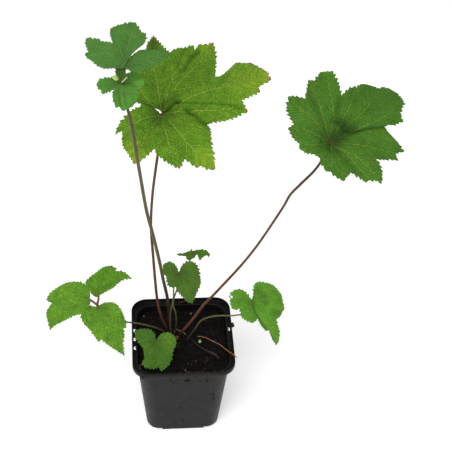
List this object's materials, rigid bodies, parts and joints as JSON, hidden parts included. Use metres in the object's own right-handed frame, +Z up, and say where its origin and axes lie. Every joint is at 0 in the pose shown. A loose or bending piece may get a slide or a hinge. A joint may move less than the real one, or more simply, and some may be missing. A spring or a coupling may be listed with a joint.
{
  "type": "potted japanese anemone",
  "caption": "Young garden perennial with lobed, toothed leaves on slender stalks, growing in dark soil in a small square nursery pot.",
  "frame": {"origin": "middle of the pot's base, on the surface that the pot stands on", "axes": "+Z up; the pot's sides run along X and Y; +X is to the right in the picture, and the picture is taken from the -Y side"},
  "size_m": [0.2954, 0.1462, 0.4229],
  "materials": {
    "pot_plastic": "satin, near-black injection-moulded plastic with soil dust",
    "soil": "matte, moist dark peat with fibres",
    "dead_root": "matte, dry orange-brown fibre",
    "dead_stem": "matte, old dark brown stalk",
    "twig": "matte, light brown twig",
    "seed": "matte, pale green",
    "leaf_yellow_green": "matte leaf, yellow-green with paler veins and browned tooth tips",
    "leaf_mid_green": "matte leaf, mid-green with pale veins",
    "leaf_bright_green": "matte leaf, bright green with fine hairs",
    "leaf_blue_green": "matte leaf, cool green, softly hairy",
    "leaf_dark_green": "matte leaf, dark green",
    "stem_purple_brown": "satin, purple-brown to olive, finely hairy",
    "stalk_red_brown": "satin, dark red-brown",
    "stalk_olive": "satin, olive-green",
    "bud": "matte, pale yellow-green, softly hairy",
    "rhizome": "matte, brown root bark"
  },
  "bodies": {
    "root": {"pot": "pot_plastic", "soil": "soil", "dead_root": "dead_root", "dead_stem": "dead_stem", "twig": "twig", "seed": "seed", "blade_large_left": "leaf_yellow_green", "blade_large_right": "leaf_mid_green", "leaflet_left_back": "leaf_bright_green", "leaflet_left_side": "leaf_bright_green", "leaflet_left_front": "leaf_bright_green", "blade_front": "leaf_bright_green", "blade_middle": "leaf_dark_green", "blade_right_low": "leaf_bright_green", "young_left": "leaf_dark_green", "young_right": "leaf_dark_green", "whorl_low_left": "leaf_blue_green", "whorl_low_front": "leaf_blue_green", "whorl_low_right": "leaf_blue_green", "whorl_high_left": "leaf_blue_green", "whorl_high_back": "leaf_blue_green", "whorl_high_right": "leaf_blue_green", "whorl_young_leaf": "leaf_dark_green", "stem_tall": "stem_purple_brown", "petiole_large_left": "stalk_red_brown", "petiole_large_right": "stalk_red_brown", "petiole_middle": "stalk_olive", "petiole_young": "stalk_olive", "petiole_left_low": "stalk_olive", "petiole_right_low": "stalk_olive", "petiole_front": "stalk_olive", "flower_bud": "bud", "shoot_tip": "bud", "rhizome_and_roots": "rhizome"}
  },
  "joints": []
}
